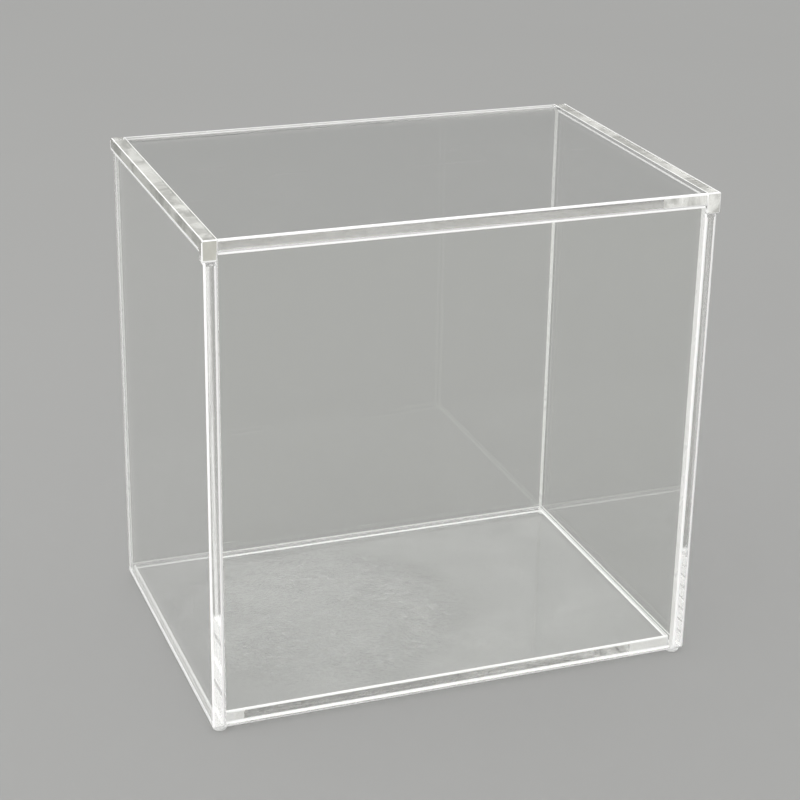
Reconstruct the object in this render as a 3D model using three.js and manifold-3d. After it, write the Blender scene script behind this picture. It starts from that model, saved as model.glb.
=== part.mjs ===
// Clear acrylic display case with a lift-off lid.
// Four walls and a base are cemented into an open box on clear bumper feet. The lid is a sheet between two
// rails, and a tab at each rail's front end drops into a notch in the side wall below it.
// Millimetres, +X to the right, +Y to the back, +Z up. The case stands on z = 0, centred on the Z axis.

import * as THREE from 'three';
import { mergeVertices } from 'three/addons/utils/BufferGeometryUtils.js';
import Module from 'manifold-3d';

// Case
const CASE_WIDTH = 200; // over the outer faces of the side walls
const CASE_DEPTH = 140; // over the end edges of the side walls
const WALL_HEIGHT = 190;
const WALL_THICKNESS = 5;
const BASE_THICKNESS = 5;

// Lid
const LID_THICKNESS = 5;
const LID_OVERHANG = 0.8; // past the case on all four sides
const TAB_LENGTH = 3.8; // along the rail, from its front end
const TAB_DROP = 3.2; // below the underside of the lid
const TAB_CORNER_RADIUS = 1; // lower inner corner, next to the front wall

// Feet
const FOOT_DIAMETER = 6;
const FOOT_FLAT_DIAMETER = 4; // worn flat that stands on the table
const FOOT_HEIGHT = 2;
const FOOT_RIM = 0.5; // straight edge at the glued side
const FOOT_INSET = 3.5; // centre to each outer face of the case

// Finish and fits
const EDGE_RADIUS = 0.75; // polished round along the sheet edges, left off where an end is cemented square
const CORNER_RADIUS = 1.2; // where two rounded edges of a sheet meet, and so more than the edge radius
const RAIL_END_RADIUS = 0.4; // polished round at the ends of the rails and their tabs
const CEMENT_GAP = 0.1; // cement or adhesive between two fixed pieces
const SEAT_GAP = 0.1; // between the lid and the wall edges it rests on
const TAB_CLEARANCE = 0.3; // between a tab and its notch

// Roundness of the drawn curves, and how close two points are taken as one
const EDGE_STEPS = 3;
const CORNER_STEPS = 3;
const DOME_STEPS = 6;
const FOOT_SIDES = 32;
const SAME_POINT = 1e-5;

// Levels and derived sizes
const wallBottom = FOOT_HEIGHT + CEMENT_GAP;
const wallTop = wallBottom + WALL_HEIGHT;
const lidBottom = wallTop + SEAT_GAP;
const insideWidth = CASE_WIDTH - 2 * WALL_THICKNESS;
const insideDepth = CASE_DEPTH - 2 * WALL_THICKNESS;
const lidWidth = CASE_WIDTH + 2 * LID_OVERHANG;
const lidDepth = CASE_DEPTH + 2 * LID_OVERHANG;
const railWidth = WALL_THICKNESS + LID_OVERHANG;
const tabWidth = railWidth + CEMENT_GAP - TAB_CLEARANCE;
const notchLength = TAB_LENGTH - LID_OVERHANG + TAB_CLEARANCE;
const notchDepth = TAB_DROP - SEAT_GAP + TAB_CLEARANCE;

const wasm = await Module();
wasm.setup();

function clearAcrylic() {
  return new THREE.MeshStandardMaterial({
    color: 0xf1f4f2,
    roughness: 0.06,
    metalness: 0,
    transparent: true,
    opacity: 0.3,
  });
}

function clearRubber() {
  return new THREE.MeshStandardMaterial({
    color: 0xe4e6e2,
    roughness: 0.3,
    metalness: 0,
    transparent: true,
    opacity: 0.6,
  });
}

// A closed outline through these corners, each rounded over this reach.
function roundedOutline(corners, reach) {
  const shape = new THREE.Shape();
  corners.forEach((corner, index) => {
    const before = corners.at(index - 1);
    const after = corners[(index + 1) % corners.length];
    const start = before.clone().sub(corner).setLength(reach).add(corner);
    const end = after.clone().sub(corner).setLength(reach).add(corner);
    if (index === 0) {
      shape.moveTo(start.x, start.y);
    } else {
      shape.lineTo(start.x, start.y);
    }
    shape.quadraticCurveTo(corner.x, corner.y, end.x, end.y);
  });
  shape.closePath();
  return shape;
}

function roundedRectangle(width, height, reach) {
  const corners = [
    new THREE.Vector2(-width / 2, -height / 2),
    new THREE.Vector2(width / 2, -height / 2),
    new THREE.Vector2(width / 2, height / 2),
    new THREE.Vector2(-width / 2, height / 2),
  ];
  return roundedOutline(corners, reach);
}

// A sheet cut to an outline, centred on its thickness, with the edges of both faces rounded.
function cutSheet(outline, thickness, edgeRadius) {
  const geometry = new THREE.ExtrudeGeometry(outline, {
    depth: thickness - 2 * edgeRadius,
    curveSegments: CORNER_STEPS,
    bevelSegments: EDGE_STEPS,
    bevelThickness: edgeRadius,
    bevelSize: edgeRadius,
    bevelOffset: -edgeRadius,
  });
  geometry.translate(0, 0, edgeRadius - thickness / 2);
  return geometry;
}

// A sheet that spans the case between two others: its section as seen from the side, drawn out from left to
// right. Its two ends stay square for the cement.
function spanningSheet(name, sectionDepth, sectionHeight, length) {
  const section = roundedRectangle(sectionDepth, sectionHeight, EDGE_RADIUS);
  const geometry = new THREE.ExtrudeGeometry(section, {
    depth: length,
    curveSegments: EDGE_STEPS,
    bevelEnabled: false,
  });
  geometry.translate(0, 0, -length / 2);
  const sheet = piece(name, geometry, clearAcrylic());
  sheet.rotation.set(Math.PI / 2, Math.PI / 2, 0);
  return sheet;
}

function toSolid(geometry) {
  const bare = geometry.clone();
  bare.deleteAttribute('normal');
  bare.deleteAttribute('uv');
  const welded = mergeVertices(bare, SAME_POINT);
  const vertProperties = new Float32Array(welded.attributes.position.array);
  const triVerts = new Uint32Array(welded.index.array);
  return new wasm.Manifold(new wasm.Mesh({ numProp: 3, vertProperties, triVerts }));
}

function toGeometry(solid) {
  const mesh = solid.getMesh();
  const geometry = new THREE.BufferGeometry();
  geometry.setAttribute('position', new THREE.BufferAttribute(new Float32Array(mesh.vertProperties), 3));
  geometry.setIndex(new THREE.BufferAttribute(new Uint32Array(mesh.triVerts), 1));
  geometry.computeVertexNormals();
  return geometry;
}

function piece(name, geometry, material) {
  const mesh = new THREE.Mesh(geometry, material);
  mesh.name = name;
  return mesh;
}

// A side wall seen from its side, front to back across the outline, with the tab's notch at the top front.
function sideWallOutline() {
  const front = -CASE_DEPTH / 2;
  const back = CASE_DEPTH / 2;
  const bottom = -WALL_HEIGHT / 2;
  const top = WALL_HEIGHT / 2;
  const corners = [
    new THREE.Vector2(front, bottom),
    new THREE.Vector2(back, bottom),
    new THREE.Vector2(back, top),
    new THREE.Vector2(front + notchLength, top),
    new THREE.Vector2(front + notchLength, top - notchDepth),
    new THREE.Vector2(front, top - notchDepth),
  ];
  return roundedOutline(corners, CORNER_RADIUS);
}

// side is -1 for the left and 1 for the right.
function sideWall(name, side) {
  const wall = piece(name, cutSheet(sideWallOutline(), WALL_THICKNESS, EDGE_RADIUS), clearAcrylic());
  wall.rotation.set(Math.PI / 2, Math.PI / 2, 0);
  wall.position.set((side * (CASE_WIDTH - WALL_THICKNESS)) / 2, 0, wallBottom + WALL_HEIGHT / 2);
  return wall;
}

// side is -1 for the front and 1 for the back.
function endWall(name, side) {
  const wall = spanningSheet(name, WALL_THICKNESS, WALL_HEIGHT, insideWidth - 2 * CEMENT_GAP);
  wall.position.set(0, (side * (CASE_DEPTH - WALL_THICKNESS)) / 2, wallBottom + WALL_HEIGHT / 2);
  return wall;
}

function basePanel() {
  const width = insideWidth - 2 * CEMENT_GAP;
  const depth = insideDepth - 2 * CEMENT_GAP;
  const outline = roundedRectangle(width, depth, CORNER_RADIUS);
  const panel = piece('base_panel', cutSheet(outline, BASE_THICKNESS, EDGE_RADIUS), clearAcrylic());
  panel.position.z = wallBottom + BASE_THICKNESS / 2;
  return panel;
}

function foot(name, sideX, sideY) {
  const rimZ = FOOT_HEIGHT - FOOT_RIM;
  const domeReach = (FOOT_DIAMETER - FOOT_FLAT_DIAMETER) / 2;
  const profile = [new THREE.Vector2(0, 0)];
  for (let step = 0; step <= DOME_STEPS; step += 1) {
    const angle = (step / DOME_STEPS) * (Math.PI / 2);
    const radius = FOOT_FLAT_DIAMETER / 2 + domeReach * Math.sin(angle);
    profile.push(new THREE.Vector2(radius, rimZ * (1 - Math.cos(angle))));
  }
  profile.push(new THREE.Vector2(FOOT_DIAMETER / 2, FOOT_HEIGHT));
  profile.push(new THREE.Vector2(0, FOOT_HEIGHT));
  const geometry = new THREE.LatheGeometry(profile, FOOT_SIDES);
  geometry.rotateX(Math.PI / 2);
  const bumper = piece(name, geometry, clearRubber());
  bumper.position.x = sideX * (CASE_WIDTH / 2 - FOOT_INSET);
  bumper.position.y = sideY * (CASE_DEPTH / 2 - FOOT_INSET);
  return bumper;
}

function lidPanel() {
  const panel = spanningSheet('lid_panel', lidDepth, LID_THICKNESS, lidWidth - 2 * (railWidth + CEMENT_GAP));
  panel.position.z = lidBottom + LID_THICKNESS / 2;
  return panel;
}

// A rail seen from the front, with its inner corners left square for the cement, and with the tab below it
// where it has one.
function railSection(side, hasTab) {
  const outer = (side * railWidth) / 2;
  const shoulder = outer - side * EDGE_RADIUS;
  const top = LID_THICKNESS / 2;
  const bottom = hasTab ? -top - TAB_DROP : -top;
  const section = new THREE.Shape();
  section.moveTo(-outer, top);
  section.lineTo(-outer, -top);
  if (hasTab) {
    const inner = outer - side * tabWidth;
    section.lineTo(inner, -top);
    section.lineTo(inner, bottom + TAB_CORNER_RADIUS);
    section.quadraticCurveTo(inner, bottom, inner + side * TAB_CORNER_RADIUS, bottom);
  }
  section.lineTo(shoulder, bottom);
  section.quadraticCurveTo(outer, bottom, outer, bottom + EDGE_RADIUS);
  section.lineTo(outer, top - EDGE_RADIUS);
  section.quadraticCurveTo(outer, top, shoulder, top);
  section.closePath();
  return section;
}

// A block with the tab at the front end, fused with a bar that starts inside it and runs to the back.
function lidRail(name, side) {
  const block = cutSheet(railSection(side, true), TAB_LENGTH, RAIL_END_RADIUS);
  block.translate(0, 0, (lidDepth - TAB_LENGTH) / 2);

  const barLength = lidDepth - TAB_LENGTH / 2;
  const bar = cutSheet(railSection(side, false), barLength, RAIL_END_RADIUS);
  bar.translate(0, 0, (barLength - lidDepth) / 2);

  const geometry = toGeometry(toSolid(bar).add(toSolid(block)));
  const rail = piece(name, geometry, clearAcrylic());
  rail.rotation.set(Math.PI / 2, 0, 0);
  rail.position.set((side * (lidWidth - railWidth)) / 2, 0, lidBottom + LID_THICKNESS / 2);
  return rail;
}

const openCase = new THREE.Group();
openCase.add(sideWall('left_wall', -1), sideWall('right_wall', 1));
openCase.add(endWall('front_wall', -1), endWall('back_wall', 1));
openCase.add(basePanel());
for (const [depthName, sideY] of [['front', -1], ['back', 1]]) {
  for (const [widthName, sideX] of [['left', -1], ['right', 1]]) {
    openCase.add(foot(`foot_${depthName}_${widthName}`, sideX, sideY));
  }
}

const lid = new THREE.Group();
lid.add(lidPanel(), lidRail('lid_left_rail', -1), lidRail('lid_right_rail', 1));

const displayCase = new THREE.Group();
displayCase.add(openCase, lid);

export default displayCase;
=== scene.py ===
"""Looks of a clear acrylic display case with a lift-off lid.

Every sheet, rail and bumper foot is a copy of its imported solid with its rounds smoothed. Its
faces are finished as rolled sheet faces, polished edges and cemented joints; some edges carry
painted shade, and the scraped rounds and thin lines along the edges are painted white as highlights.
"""

import math

import bmesh
import bpy
from mathutils import Matrix, Vector


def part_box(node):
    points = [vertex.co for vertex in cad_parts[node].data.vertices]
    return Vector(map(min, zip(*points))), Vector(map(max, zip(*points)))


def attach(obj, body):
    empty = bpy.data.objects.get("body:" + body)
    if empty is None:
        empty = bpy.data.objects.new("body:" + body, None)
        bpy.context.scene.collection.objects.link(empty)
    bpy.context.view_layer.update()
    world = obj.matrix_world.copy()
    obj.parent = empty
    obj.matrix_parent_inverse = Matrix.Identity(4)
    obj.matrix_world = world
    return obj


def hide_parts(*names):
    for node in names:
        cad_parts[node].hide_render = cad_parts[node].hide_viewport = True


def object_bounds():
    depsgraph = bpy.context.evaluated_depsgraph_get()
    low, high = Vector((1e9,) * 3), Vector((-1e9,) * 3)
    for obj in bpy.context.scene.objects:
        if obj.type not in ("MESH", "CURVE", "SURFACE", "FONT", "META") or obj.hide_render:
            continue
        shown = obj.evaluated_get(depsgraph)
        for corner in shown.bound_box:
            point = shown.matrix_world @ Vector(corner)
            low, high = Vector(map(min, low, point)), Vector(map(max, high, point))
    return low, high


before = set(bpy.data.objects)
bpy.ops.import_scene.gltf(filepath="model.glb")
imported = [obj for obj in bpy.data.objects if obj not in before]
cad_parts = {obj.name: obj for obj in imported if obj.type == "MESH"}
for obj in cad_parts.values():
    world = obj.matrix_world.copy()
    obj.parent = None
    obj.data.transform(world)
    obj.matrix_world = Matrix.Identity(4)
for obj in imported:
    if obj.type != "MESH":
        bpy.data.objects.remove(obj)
cad_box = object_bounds()

# Shaping, in metres and degrees
SAME_POINT = 1e-6
FLAT_ANGLE = math.radians(0.5)
SQUARE_TO = 0.99  # cosine above which a face counts as square to an axis
EDGE_ROUND = 0.00075  # radius along the sheets' edges
PAINTED_HIGHLIGHT_LINE = 0.0005  # width of the white line beside some rounds, a painted highlight
BACK_HIGHLIGHT_LINE = 0.0007  # width of the white line along the lid's back edge, a painted highlight
SEAM_HIGHLIGHT_LINE = 0.0003  # width of the white lines along the rails, painted highlights
RAIL_END_HIGHLIGHT = 0.0012  # width of the white line down the back end of the left rail, a painted highlight
OUTER_HALF = 0.293 * EDGE_ROUND  # depth of the outer half of a round, up to 45 degrees
CEMENT_HIGHLIGHT_RISE = 0.0007  # height of the white line on the walls just above the base, a painted highlight
TAB_HIGHLIGHT = (0.0004, 0.0009)  # from and to, above the tab's lower edge, of the white line across it, a painted highlight
POST_TOP = 0.0049  # from the lid's underside down to below the rounded top of the posts
PAINTED_HIGHLIGHT_END = 0.018  # length of the painted highlight at the right end of the front edges, in the white cemented finish
PAINTED_HIGHLIGHT_START = 0.008  # the same at the left end of the base's front edge

# Clear plastic and its marks
ACRYLIC_IOR = 1.49
RUBBER_IOR = 1.42
FACE_SHADE = 0.965  # light that one sheet face lets through to what lies behind
EDGE_SHADE = 0.85
ACROSS_LINES = 1500.0  # polish lines to the metre, across an edge
ALONG_LINES = 18.0  # the same along it
FILM_PLACE = (-0.035, 0.0, 0.007)  # middle of the wrinkled film on the base, in metres
FILM_REACH = (0.075, 0.03)  # from that middle to where the film ends, and to where it is full
FILM_DEPTH = 0.0003

# Colours of the finishes, where they are clean and where they are marked
SHEET_FACE = ((0.985, 0.99, 0.98, 1.0), (0.95, 0.955, 0.935, 1.0))
POLISHED_EDGE = ((0.99, 0.99, 0.97, 1.0), (0.93, 0.93, 0.90, 1.0))
# painted shade: the dark tint of the front edges, rail sides and wall tops
PAINTED_SHADE_EDGE = ((0.52, 0.52, 0.50, 1.0), (0.36, 0.36, 0.34, 1.0))
CEMENTED_EDGE = ((0.98, 0.98, 0.965, 1.0), (0.86, 0.86, 0.83, 1.0))
CEMENTED_RAIL = ((0.99, 0.99, 0.95, 1.0), (0.46, 0.46, 0.43, 1.0))
HAZY_END = ((0.64, 0.635, 0.57, 1.0), (0.56, 0.555, 0.50, 1.0))
# painted highlight: the satin white of the rounds along the edges
PAINTED_HIGHLIGHT_WHITE = ((0.99, 0.99, 0.985, 1.0), (0.95, 0.95, 0.935, 1.0))
BUMPER_RUBBER = ((0.95, 0.955, 0.94, 1.0), (0.86, 0.86, 0.83, 1.0))
STUDIO_FLOOR = ((0.315, 0.315, 0.308, 1.0), (0.302, 0.302, 0.295, 1.0))

# Camera
IMAGE_SIZE = 800  # pixels each way
FOCAL_LENGTH = 2036.4  # pixels
SENSOR_WIDTH = 36.0  # millimetres
CAMERA_AZIMUTH = math.radians(-20.551)
CAMERA_ELEVATION = math.radians(22.343)
CAMERA_ROLL = math.radians(1.023)
CAMERA_AIM = Vector((-0.0004, -0.0003, 0.0979))
CAMERA_DISTANCE = 0.8312
CAMERA_NEAR = 0.01

# Studio
FLOOR_SIZE = 12.0
HORIZON_LEVEL = 0.35
DOME_LEVEL = 0.95
BACKDROP_TOP = 0.30  # sine of the height at which the backdrop's tone starts to give way to the dome
DOME_FROM = 0.48  # sine of the height from which the dome is at its full level
FRONT_LIGHT = (-0.8, -0.75, 0.42)  # towards the wide soft light in front and to the left
FRONT_LEVEL = 1.4
FRONT_SPREAD = (0.35, 0.92)  # cosines of the angles at which the front light starts and is full
KEY_PLACE = (-0.9, 0.2, 1.3)
KEY_SIZE = 0.8
KEY_POWER = 4.0

AXES = {"X": Vector((1, 0, 0)), "Y": Vector((0, 1, 0)), "Z": Vector((0, 0, 1))}


# Shader helpers

def new_group(name, inputs, outputs):
    """An empty shader node group; inputs are (name, default) and outputs are names, all plain values."""
    group = bpy.data.node_groups.new(name, "ShaderNodeTree")
    for label, default in inputs:
        socket = group.interface.new_socket(label, in_out="INPUT", socket_type="NodeSocketFloat")
        socket.default_value = default
    for label in outputs:
        group.interface.new_socket(label, in_out="OUTPUT", socket_type="NodeSocketFloat")
    return group


def add(tree, kind, **settings):
    """A new node with its properties set."""
    node = tree.nodes.new(kind)
    for key, value in settings.items():
        setattr(node, key, value)
    return node


def math_node(tree, operation, first, second=None):
    """A Math node fed by sockets or plain numbers; returns its output."""
    node = add(tree, "ShaderNodeMath", operation=operation)
    for place, value in enumerate((first, second)):
        if isinstance(value, bpy.types.NodeSocket):
            tree.links.new(value, node.inputs[place])
        elif value is not None:
            node.inputs[place].default_value = value
    return node.outputs["Value"]


def ramp(tree, value, low, high, to_low=0.0, to_high=1.0):
    """Maps value from low..high to to_low..to_high, eased at both ends and held outside them."""
    node = add(tree, "ShaderNodeMapRange", interpolation_type="SMOOTHSTEP")
    tree.links.new(value, node.inputs["Value"])
    node.inputs["From Min"].default_value = low
    node.inputs["From Max"].default_value = high
    node.inputs["To Min"].default_value = to_low
    node.inputs["To Max"].default_value = to_high
    return node.outputs["Result"]


def noise(tree, place, scale, detail=3.0, roughness=0.55, distortion=0.0):
    """Cloudy noise over a place; scale is features to the metre."""
    node = add(tree, "ShaderNodeTexNoise")
    tree.links.new(place, node.inputs["Vector"])
    node.inputs["Scale"].default_value = scale
    node.inputs["Detail"].default_value = detail
    node.inputs["Roughness"].default_value = roughness
    node.inputs["Distortion"].default_value = distortion
    return node.outputs["Fac"]


def stretched(tree, place, scale, turn=(0.0, 0.0, 0.0)):
    """The place turned by degrees and stretched, for marks that run one way."""
    node = add(tree, "ShaderNodeMapping")
    tree.links.new(place, node.inputs["Vector"])
    node.inputs["Rotation"].default_value = [math.radians(angle) for angle in turn]
    node.inputs["Scale"].default_value = scale
    return node.outputs["Vector"]


def blend_colours(tree, factor, colours):
    """A colour between two, by a factor."""
    node = add(tree, "ShaderNodeMix", data_type="RGBA")
    tree.links.new(factor, node.inputs["Factor"])
    node.inputs["A"].default_value, node.inputs["B"].default_value = colours
    return node.outputs["Result"]


def bump(tree, height, strength, depth, under=None):
    """A normal from a height, on top of another normal if one is given."""
    node = add(tree, "ShaderNodeBump")
    tree.links.new(height, node.inputs["Height"])
    if under:
        tree.links.new(under, node.inputs["Normal"])
    node.inputs["Strength"].default_value = strength
    node.inputs["Distance"].default_value = depth
    return node.outputs["Normal"]


# Shared marks

def make_handling_marks():
    """Finger smears, hairline scratches, dust and wrinkled film on a sheet, as masks from 0 to 1."""
    marks = ["Smears", "Scratches", "Dust", "Wrinkles"]
    group = new_group("handling marks", [("Smear Cover", 0.5)], marks)
    start = group.nodes.new("NodeGroupInput")
    end = group.nodes.new("NodeGroupOutput")
    place = add(group, "ShaderNodeTexCoord").outputs["Object"]

    patches = noise(group, place, 13.0, detail=4.0, roughness=0.6, distortion=0.8)
    streaks = noise(group, stretched(group, place, (60.0, 60.0, 16.0), turn=(0, 25, 0)), 1.0)
    cover = math_node(group, "MULTIPLY", start.outputs["Smear Cover"], 0.3)
    patches = ramp(group, math_node(group, "ADD", patches, cover), 0.6, 0.95)
    smears = math_node(group, "MULTIPLY", patches, ramp(group, streaks, 0.3, 0.75))
    group.links.new(smears, end.inputs["Smears"])

    lengthwise = stretched(group, place, (25.0, 900.0, 700.0), turn=(10, 0, 33))
    crosswise = stretched(group, place, (800.0, 30.0, 900.0), turn=(0, 14, -28))
    lengthwise = ramp(group, noise(group, lengthwise, 1.0, detail=1.0), 0.73, 0.8)
    crosswise = ramp(group, noise(group, crosswise, 1.0, detail=1.0), 0.74, 0.81)
    scratches = math_node(group, "MAXIMUM", lengthwise, crosswise)
    group.links.new(scratches, end.inputs["Scratches"])

    cells = add(group, "ShaderNodeTexVoronoi")
    group.links.new(place, cells.inputs["Vector"])
    cells.inputs["Scale"].default_value = 230.0
    specks = ramp(group, cells.outputs["Distance"], 0.1, 0.05)
    chosen = add(group, "ShaderNodeSeparateColor")
    group.links.new(cells.outputs["Color"], chosen.inputs["Color"])
    kept = ramp(group, chosen.outputs["Red"], 0.8, 0.82)
    dust = math_node(group, "MULTIPLY", specks, kept)
    group.links.new(dust, end.inputs["Dust"])

    away = add(group, "ShaderNodeVectorMath", operation="DISTANCE")
    group.links.new(place, away.inputs[0])
    away.inputs[1].default_value = FILM_PLACE
    film = ramp(group, away.outputs["Value"], *FILM_REACH)
    wrinkles = noise(group, place, 550.0, detail=2.0, roughness=0.6, distortion=1.5)
    wrinkles = math_node(group, "MULTIPLY", wrinkles, film)
    group.links.new(math_node(group, "MAXIMUM", wrinkles, dust), end.inputs["Wrinkles"])
    return group


def make_cement_marks():
    """Clouds, runs and trapped bubbles of cement in a joint, as masks from 0 to 1."""
    group = new_group("cement marks", [("Cloud Cover", 0.5)], ["Clouds", "Bubbles"])
    start = group.nodes.new("NodeGroupInput")
    end = group.nodes.new("NodeGroupOutput")
    place = add(group, "ShaderNodeTexCoord").outputs["Object"]

    clouds = noise(group, place, 60.0, detail=5.0, roughness=0.6, distortion=1.2)
    cover = math_node(group, "MULTIPLY", start.outputs["Cloud Cover"], 0.4)
    clouds = ramp(group, math_node(group, "ADD", clouds, cover), 0.5, 0.85)
    group.links.new(clouds, end.inputs["Clouds"])

    cells = add(group, "ShaderNodeTexVoronoi")
    group.links.new(place, cells.inputs["Vector"])
    cells.inputs["Scale"].default_value = 420.0
    group.links.new(ramp(group, cells.outputs["Distance"], 0.32, 0.2), end.inputs["Bubbles"])
    return group


def make_polish_lines():
    """Lines that sawing and polishing leave along an edge, and slow waves.

    The scales are lines to the metre.
    """
    scales = ["Across X", "Across Y", "Across Z"]
    group = new_group("polish lines", [(label, ALONG_LINES) for label in scales], ["Lines", "Waves"])
    start = group.nodes.new("NodeGroupInput")
    end = group.nodes.new("NodeGroupOutput")
    place = add(group, "ShaderNodeTexCoord").outputs["Object"]
    scale = add(group, "ShaderNodeCombineXYZ")
    for axis, label in zip("XYZ", scales):
        group.links.new(start.outputs[label], scale.inputs[axis])
    stretch = add(group, "ShaderNodeVectorMath", operation="MULTIPLY")
    group.links.new(place, stretch.inputs[0])
    group.links.new(scale.outputs["Vector"], stretch.inputs[1])
    lines = noise(group, stretch.outputs["Vector"], 1.0, roughness=0.6)
    group.links.new(lines, end.inputs["Lines"])
    group.links.new(noise(group, place, 70.0, detail=2.0), end.inputs["Waves"])
    return group


handling_marks = make_handling_marks()
cement_marks = make_cement_marks()
polish_lines = make_polish_lines()


# Materials

def start_material(name):
    """A node material with its shader and output; returns the material, its tree and the shader."""
    material = bpy.data.materials.new(name)
    material.use_nodes = True
    tree = material.node_tree
    tree.nodes.clear()
    shader = add(tree, "ShaderNodeBsdfPrincipled")
    output = add(tree, "ShaderNodeOutputMaterial")
    tree.links.new(shader.outputs["BSDF"], output.inputs["Surface"])
    return material, tree, shader


def place_group(tree, group, **values):
    """A shared group placed in a material; value names have underscores for spaces."""
    node = add(tree, "ShaderNodeGroup", node_tree=group)
    for label, value in values.items():
        node.inputs[label.replace("_", " ")].default_value = value
    return node


def make_clear(shader, ior, transmission):
    """Sets the constant values of clear plastic."""
    shader.inputs["IOR"].default_value = ior
    shader.inputs["Transmission Weight"].default_value = transmission


def let_light_through(tree, shader, share):
    """Lamp light and light on its way from a matt surface pass straight through, dimmed by share."""
    path = add(tree, "ShaderNodeLightPath")
    lit = math_node(tree, "MAXIMUM", path.outputs["Is Shadow Ray"], path.outputs["Is Diffuse Ray"])
    passing = add(tree, "ShaderNodeBsdfTransparent")
    passing.inputs["Color"].default_value = (share, share, share, 1.0)
    mix = add(tree, "ShaderNodeMixShader")
    tree.links.new(lit, mix.inputs["Fac"])
    tree.links.new(shader.outputs["BSDF"], mix.inputs[1])
    tree.links.new(passing.outputs["BSDF"], mix.inputs[2])
    output = next(node for node in tree.nodes if node.type == "OUTPUT_MATERIAL")
    tree.links.new(mix.outputs["Shader"], output.inputs["Surface"])


def sheet_face_material(name, smear_cover, film, scuffed, film_depth=0.0):
    """The rolled face of a clear sheet, with marks of handling; a film with depth is wrinkled."""
    material, tree, shader = start_material(name)
    marks = place_group(tree, handling_marks, Smear_Cover=smear_cover)
    smears = marks.outputs["Smears"]
    dust = marks.outputs["Dust"]
    make_clear(shader, ACRYLIC_IOR, 1.0)
    tree.links.new(blend_colours(tree, smears, SHEET_FACE), shader.inputs["Base Color"])
    tree.links.new(ramp(tree, smears, 0.0, 1.0, 0.004, scuffed), shader.inputs["Roughness"])
    coat = math_node(tree, "MAXIMUM", math_node(tree, "MULTIPLY", smears, film), dust)
    tree.links.new(coat, shader.inputs["Coat Weight"])
    shader.inputs["Coat Roughness"].default_value = 0.45
    shader.inputs["Coat IOR"].default_value = 1.9
    normal = bump(tree, marks.outputs["Scratches"], 0.12, 0.00005)
    if film_depth:
        normal = bump(tree, marks.outputs["Wrinkles"], 1.0, film_depth, normal)
    tree.links.new(normal, shader.inputs["Normal"])
    let_light_through(tree, shader, FACE_SHADE)
    return material


def polished_edge_material(name, across, colours):
    """The polished edge of a sheet, with fine lines along it; across is the axis over its width."""
    material, tree, shader = start_material(name)
    lines = place_group(tree, polish_lines, **{"Across_" + across: ACROSS_LINES})
    make_clear(shader, ACRYLIC_IOR, 1.0)
    height = lines.outputs["Lines"]
    tree.links.new(blend_colours(tree, height, colours), shader.inputs["Base Color"])
    tree.links.new(ramp(tree, height, 0.35, 0.7, 0.05, 0.15), shader.inputs["Roughness"])
    tree.links.new(bump(tree, height, 0.03, 0.00005), shader.inputs["Normal"])
    let_light_through(tree, shader, EDGE_SHADE)
    return material


def cemented_edge_material(name, cloud_cover, colours, transmission):
    """An edge set in cement: white, with clouds and bubbles."""
    material, tree, shader = start_material(name)
    cement = place_group(tree, cement_marks, Cloud_Cover=cloud_cover)
    clouds = cement.outputs["Clouds"]
    make_clear(shader, ACRYLIC_IOR, transmission)
    tree.links.new(blend_colours(tree, clouds, colours), shader.inputs["Base Color"])
    tree.links.new(ramp(tree, clouds, 0.0, 1.0, 0.2, 0.5), shader.inputs["Roughness"])
    tree.links.new(bump(tree, cement.outputs["Bubbles"], 0.3, 0.0003), shader.inputs["Normal"])
    let_light_through(tree, shader, EDGE_SHADE)
    return material


def white_highlight_material():
    """The scraped round along every free edge, painted satin white as a highlight."""
    material, tree, shader = start_material("scraped round with painted highlight")
    waves = place_group(tree, polish_lines).outputs["Waves"]
    make_clear(shader, ACRYLIC_IOR, 0.04)
    tree.links.new(blend_colours(tree, waves, PAINTED_HIGHLIGHT_WHITE), shader.inputs["Base Color"])
    tree.links.new(ramp(tree, waves, 0.2, 0.8, 0.25, 0.45), shader.inputs["Roughness"])
    let_light_through(tree, shader, EDGE_SHADE)
    return material


def clear_rubber_material():
    """Soft clear bumper, a little hazy from dust."""
    material, tree, shader = start_material("clear bumper rubber")
    smears = place_group(tree, handling_marks, Smear_Cover=0.8).outputs["Smears"]
    make_clear(shader, RUBBER_IOR, 0.3)
    tree.links.new(blend_colours(tree, smears, BUMPER_RUBBER), shader.inputs["Base Color"])
    tree.links.new(ramp(tree, smears, 0.0, 1.0, 0.08, 0.25), shader.inputs["Roughness"])
    let_light_through(tree, shader, EDGE_SHADE)
    return material


def floor_material():
    """Plain pale studio floor with the faintest mottling."""
    material, tree, shader = start_material("pale studio floor")
    place = add(tree, "ShaderNodeTexCoord").outputs["Object"]
    mottle = noise(tree, place, 3.0, detail=4.0)
    tree.links.new(blend_colours(tree, mottle, STUDIO_FLOOR), shader.inputs["Base Color"])
    shader.inputs["Roughness"].default_value = 0.7
    shader.inputs["Specular IOR Level"].default_value = 0.2
    return material


sheet_face = sheet_face_material("clear sheet face", smear_cover=0.35, film=0.5, scuffed=0.03)
base_face = sheet_face_material(
    "scuffed base face", smear_cover=0.9, film=1.0, scuffed=0.16, film_depth=FILM_DEPTH
)
polished_edge = {
    axis: polished_edge_material("polished sheet edge across " + axis, axis, POLISHED_EDGE)
    for axis in AXES
}
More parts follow.
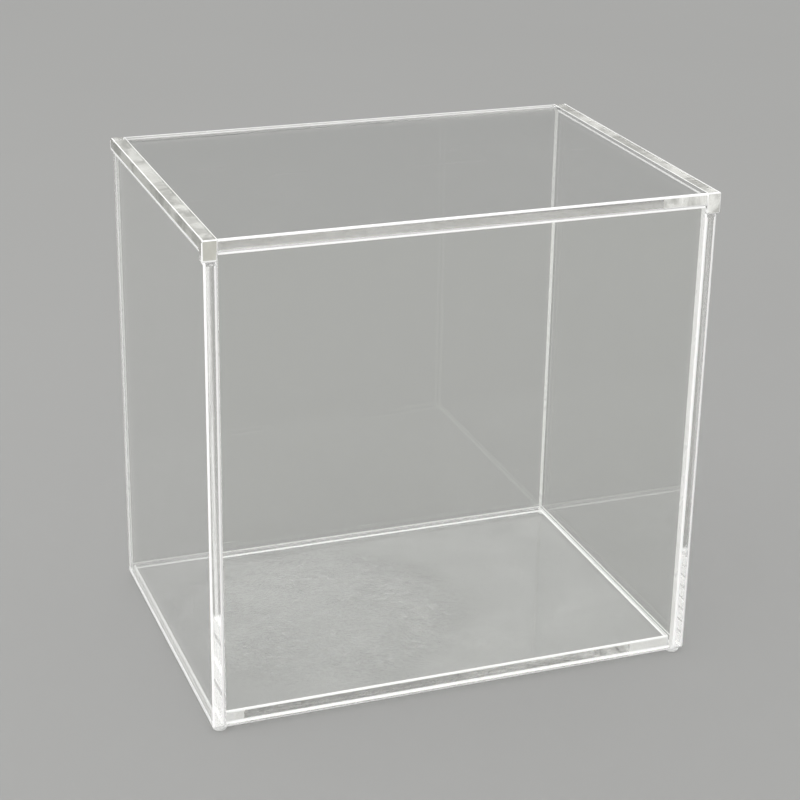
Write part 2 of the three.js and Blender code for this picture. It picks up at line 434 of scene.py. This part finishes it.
# painted shade: the polished edge in a dark tint, for front edges, rail sides and wall tops
painted_shade_edge = {
    axis: polished_edge_material("shaded sheet edge across " + axis, axis, PAINTED_SHADE_EDGE)
    for axis in "YZ"
}
joint_edge = cemented_edge_material("cemented sheet edge", 0.5, CEMENTED_EDGE, transmission=0.1)
rail_joint = cemented_edge_material("cemented rail face", 0.5, CEMENTED_RAIL, transmission=0.12)
hazy_rail_end = cemented_edge_material("hazy rail end", 0.4, HAZY_END, transmission=0.15)
painted_highlight_round = white_highlight_material()
bumper_rubber = clear_rubber_material()


# Pieces

def square_axis(normal):
    """The axis that a face is square to and the side that it faces, or None on a round."""
    for name, axis in AXES.items():
        along = normal.dot(axis)
        if abs(along) > SQUARE_TO:
            return name, math.copysign(1, along)
    return None


def copied_shape(node):
    """A node's solid with its triangles joined into flat faces and its rounds shaded smooth."""
    shape = bmesh.new()
    shape.from_mesh(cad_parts[node].data)
    bmesh.ops.remove_doubles(shape, verts=shape.verts, dist=SAME_POINT)
    bmesh.ops.dissolve_limit(
        shape, angle_limit=FLAT_ANGLE, use_dissolve_boundaries=False,
        verts=shape.verts, edges=shape.edges,
    )
    for face in shape.faces:
        face.smooth = square_axis(face.normal) is None
    return shape


def band(facing, material, **limits):
    """A part of a piece with its own finish: faces that face one way, or rounds if facing is None.

    The limits along X, Y and Z bound it; flat faces are scored along them.
    """
    return facing, material, limits


def score_bands(shape, bands):
    """Cuts the flat faces along the limits of their bands."""
    for facing, _, limits in bands:
        if facing is None:
            continue
        for axis, places in limits.items():
            for place in places:
                everything = [*shape.verts, *shape.edges, *shape.faces]
                bmesh.ops.bisect_plane(
                    shape, geom=everything, dist=SAME_POINT,
                    plane_co=AXES[axis] * place, plane_no=AXES[axis],
                )


def band_finish(face, bands):
    """The finish of the band that a face is in, or None."""
    facing = square_axis(face.normal)
    middle = face.calc_center_median()
    for band_facing, material, limits in bands:
        within = all(low < middle.dot(AXES[axis]) < high for axis, (low, high) in limits.items())
        if band_facing == facing and within:
            return material
    return None


def finish_piece(node, shape, body, pick):
    """Makes the piece that stands for a node; pick gives each face its material."""
    mesh = bpy.data.meshes.new(node + "_look")
    finishes = [pick(face) for face in shape.faces]
    materials = list(dict.fromkeys(finishes))
    for material in materials:
        mesh.materials.append(material)
    for face, finish in zip(shape.faces, finishes):
        face.material_index = materials.index(finish)
    shape.to_mesh(mesh)
    shape.free()
    piece = bpy.data.objects.new(node + "_look", mesh)
    bpy.context.scene.collection.objects.link(piece)
    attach(piece, body)
    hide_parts(node)


def dress_acrylic(node, body, bands, pick_flat):
    """An acrylic piece: its bands, then its scraped rounds in painted white highlight; pick_flat
    finishes the other sides.
    """
    shape = copied_shape(node)
    score_bands(shape, bands)

    def pick(side):
        facing = square_axis(side.normal)
        return band_finish(side, bands) or (pick_flat(facing) if facing else painted_highlight_round)

    finish_piece(node, shape, body, pick)


def dress_sheet(node, body, thickness_axis, joint_sides, bands, face=None):
    """A cut sheet: its two faces, its clouded and polished edges, and the rounds between them.

    joint_sides lists the sides whose edge is cemented or left sawn, as (axis, sign).
    """
    def pick_flat(facing):
        if facing[0] == thickness_axis:
            return face or sheet_face
        return joint_edge if facing in joint_sides else polished_edge[thickness_axis]

    dress_acrylic(node, body, bands, pick_flat)


def dress_rail(node, inward, bands):
    """A lid rail: polished on top and at its ends, painted shade on its outer side, cemented inside and
    below.
    """
    def pick_flat(facing):
        if facing in (("Z", -1), ("X", inward)):
            return rail_joint
        return painted_shade_edge["Z"] if facing[0] == "X" else polished_edge["X"]

    dress_acrylic(node, "lid", bands, pick_flat)


def dress_foot(node):
    """A clear bumper, smoothed over its facets."""
    finish_piece(node, copied_shape(node), "case", lambda face: bumper_rubber)


def post_highlight_line(start, end):
    """A painted highlight: a white line up the front edge of a side wall."""
    return band(("Y", -1), painted_highlight_round, X=(start, end))


def post_top(wall):
    """The rounded top of a post under the rail's tab, which is polished clear."""
    low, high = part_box(wall)
    under = high[2] - POST_TOP
    across = (low[0] + EDGE_ROUND, high[0] - EDGE_ROUND)
    front = (low[1] - SAME_POINT, low[1] + POST_TOP)
    return band(None, sheet_face, X=across, Y=front, Z=(under, high[2]))


def dress_case():
    base_low, base_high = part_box("base_panel")
    # the white line on the walls just above the base is a painted highlight
    cement_highlight_line = (base_high[2], base_high[2] + CEMENT_HIGHLIGHT_RISE)
    painted_shade_start, painted_shade_end = base_low[0] + PAINTED_HIGHLIGHT_START, base_high[0] - PAINTED_HIGHLIGHT_END
    dress_sheet("base_panel", "case", "Z", (("X", -1), ("X", 1)), (
        # painted shade along the base's front edge; its white cemented ends beyond it are painted
        # highlights
        band(("Y", -1), painted_shade_edge["Z"], X=(painted_shade_start, painted_shade_end)),
        band(("Y", -1), joint_edge),
    ), base_face)

    low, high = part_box("left_wall")
    inner_flat = high[0] - EDGE_ROUND
    bottom_flat = low[2] + EDGE_ROUND
    dress_sheet("left_wall", "case", "X", (), (
        # painted highlights: white lines beside the wall's rounds
        post_highlight_line(inner_flat - PAINTED_HIGHLIGHT_LINE, inner_flat),
        band(("X", -1), painted_highlight_round, Z=(bottom_flat, bottom_flat + PAINTED_HIGHLIGHT_LINE)),
        post_top("left_wall"),
    ))

    low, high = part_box("right_wall")
    inner_flat = low[0] + EDGE_ROUND
    outer_flat = high[0] - EDGE_ROUND
    dress_sheet("right_wall", "case", "X", (), (
        # painted highlights: white lines beside the wall's rounds and just above the base
        post_highlight_line(inner_flat, inner_flat + PAINTED_HIGHLIGHT_LINE),
        post_highlight_line(outer_flat - PAINTED_HIGHLIGHT_LINE, outer_flat),
        band(("X", -1), painted_highlight_round, Y=(base_low[1], base_high[1]), Z=cement_highlight_line),
        post_top("right_wall"),
    ))

    # painted shade on the top edges of the front and back walls
    painted_shade_top = band(("Z", 1), painted_shade_edge["Y"])
    dress_sheet("front_wall", "case", "Y", (("X", 1),), (painted_shade_top,))

    low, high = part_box("back_wall")
    inner_round = (low[1] - SAME_POINT, low[1] + EDGE_ROUND)
    top_round = (high[2] - EDGE_ROUND, high[2] + SAME_POINT)
    dress_sheet("back_wall", "case", "Y", (("X", -1), ("X", 1)), (
        # painted highlight just above the base
        band(("Y", -1), painted_highlight_round, Z=cement_highlight_line),
        band(None, polished_edge["Y"], Y=inner_round, Z=top_round),
        painted_shade_top,
    ))
    for node in ("foot_front_left", "foot_front_right", "foot_back_left", "foot_back_right"):
        dress_foot(node)


def dress_lid():
    low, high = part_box("lid_panel")
    back_flat = high[1] - EDGE_ROUND
    dress_sheet("lid_panel", "lid", "Z", (("X", -1), ("Y", 1)), (
        # painted highlight along the back edge; painted shade along the front edge, with a white painted
        # highlight at its right end
        band(("Z", 1), painted_highlight_round, Y=(back_flat - BACK_HIGHLIGHT_LINE, back_flat)),
        band(("Y", -1), painted_shade_edge["Z"], X=(low[0], high[0] - PAINTED_HIGHLIGHT_END)),
        band(("Y", -1), rail_joint),
    ))

    rail_low, rail_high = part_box("lid_left_rail")
    lower_flat = low[2] + EDGE_ROUND
    outer_half = (rail_low[0] - SAME_POINT, rail_low[0] + OUTER_HALF)
    dress_rail("lid_left_rail", 1, (
        # painted shade on the outer half of the top round, then painted highlights: white lines on the
        # top, down the back end, along the bottom and across the tab
        band(None, painted_shade_edge["Z"], X=outer_half, Z=(rail_high[2] - EDGE_ROUND, rail_high[2])),
        band(("Z", 1), painted_highlight_round, X=(rail_high[0] - SEAM_HIGHLIGHT_LINE, rail_high[0])),
        band(("X", -1), painted_highlight_round, Y=(rail_high[1] - RAIL_END_HIGHLIGHT, rail_high[1])),
        band(("X", -1), painted_highlight_round, Y=(rail_low[1] + POST_TOP, rail_high[1]),
             Z=(lower_flat, lower_flat + PAINTED_HIGHLIGHT_LINE)),
        band(("Y", -1), painted_highlight_round, Z=(rail_low[2] + TAB_HIGHLIGHT[0], rail_low[2] + TAB_HIGHLIGHT[1])),
        band(("Y", -1), hazy_rail_end),
    ))

    rail_low, rail_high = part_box("lid_right_rail")
    outer_flat = rail_high[0] - EDGE_ROUND
    dress_rail("lid_right_rail", -1, (
        band(("X", -1), polished_edge["Z"]),  # the right joint has set clear
        band(("Y", -1), rail_joint),
        # painted highlights: white lines along the top
        band(("Z", 1), painted_highlight_round, X=(rail_low[0], rail_low[0] + PAINTED_HIGHLIGHT_LINE)),
        band(("Z", 1), painted_highlight_round, X=(outer_flat - SEAM_HIGHLIGHT_LINE, outer_flat)),
        band(None, rail_joint, X=(outer_flat, rail_high[0]), Z=(low[2], lower_flat)),
    ))


dress_case()
dress_lid()


# Studio

def make_floor():
    mesh = bpy.data.meshes.new("floor")
    half = FLOOR_SIZE / 2
    corners = [(-half, -half, 0), (half, -half, 0), (half, half, 0), (-half, half, 0)]
    mesh.from_pydata(corners, [], [(0, 1, 2, 3)])
    mesh.materials.append(floor_material())
    floor = bpy.data.objects.new("floor", mesh)
    bpy.context.scene.collection.objects.link(floor)


def make_dome():
    """A backdrop of the floor's tone all round, a white dome above it and a soft light in front."""
    world = bpy.data.worlds.new("studio dome")
    world.use_nodes = True
    bpy.context.scene.world = world
    tree = world.node_tree
    background = next(node for node in tree.nodes if node.type == "BACKGROUND")
    direction = add(tree, "ShaderNodeTexCoord").outputs["Generated"]
    parts = add(tree, "ShaderNodeSeparateXYZ")
    tree.links.new(direction, parts.inputs["Vector"])
    level = ramp(tree, parts.outputs["Z"], BACKDROP_TOP, DOME_FROM, HORIZON_LEVEL, DOME_LEVEL)
    nearness = add(tree, "ShaderNodeVectorMath", operation="DOT_PRODUCT")
    tree.links.new(direction, nearness.inputs[0])
    nearness.inputs[1].default_value = Vector(FRONT_LIGHT).normalized()
    front = ramp(tree, nearness.outputs["Value"], *FRONT_SPREAD, 0.0, FRONT_LEVEL)
    tree.links.new(math_node(tree, "ADD", level, front), background.inputs["Strength"])
    background.inputs["Color"].default_value = (1.0, 1.0, 1.0, 1.0)


def make_lamp(name, place, size, power):
    """A square soft lamp aimed at the middle of the case."""
    light = bpy.data.lights.new(name, "AREA")
    light.size = size
    light.energy = power
    lamp = bpy.data.objects.new(name, light)
    lamp.location = place
    aim = Vector((0, 0, cad_box[1][2] / 2)) - Vector(place)
    lamp.rotation_euler = aim.to_track_quat("-Z", "Y").to_euler()
    bpy.context.scene.collection.objects.link(lamp)


def make_camera():
    back = Vector((
        math.sin(CAMERA_AZIMUTH) * math.cos(CAMERA_ELEVATION),
        -math.cos(CAMERA_AZIMUTH) * math.cos(CAMERA_ELEVATION),
        math.sin(CAMERA_ELEVATION),
    ))
    right = Vector((math.cos(CAMERA_AZIMUTH), math.sin(CAMERA_AZIMUTH), 0))
    up = back.cross(right)
    rolled_right = right * math.cos(CAMERA_ROLL) + up * math.sin(CAMERA_ROLL)
    rolled_up = up * math.cos(CAMERA_ROLL) - right * math.sin(CAMERA_ROLL)
    settings = bpy.data.cameras.new("camera")
    settings.sensor_width = SENSOR_WIDTH
    settings.lens = SENSOR_WIDTH * FOCAL_LENGTH / IMAGE_SIZE
    settings.clip_start = CAMERA_NEAR
    camera = bpy.data.objects.new("camera", settings)
    camera.matrix_world = Matrix((rolled_right, rolled_up, back)).transposed().to_4x4()
    camera.location = CAMERA_AIM + back * CAMERA_DISTANCE
    bpy.context.scene.collection.objects.link(camera)
    bpy.context.scene.camera = camera


def allow_deep_reflections():
    """Light crosses many clear faces and turns inside the sheets before it leaves them."""
    cycles = bpy.context.scene.cycles
    cycles.max_bounces = 48
    cycles.glossy_bounces = 40
    cycles.transmission_bounces = 40
    cycles.transparent_max_bounces = 32


make_floor()
make_dome()
make_lamp("soft key lamp", KEY_PLACE, KEY_SIZE, KEY_POWER)
make_camera()
allow_deep_reflections()
bpy.context.scene.view_settings.view_transform = "Standard"
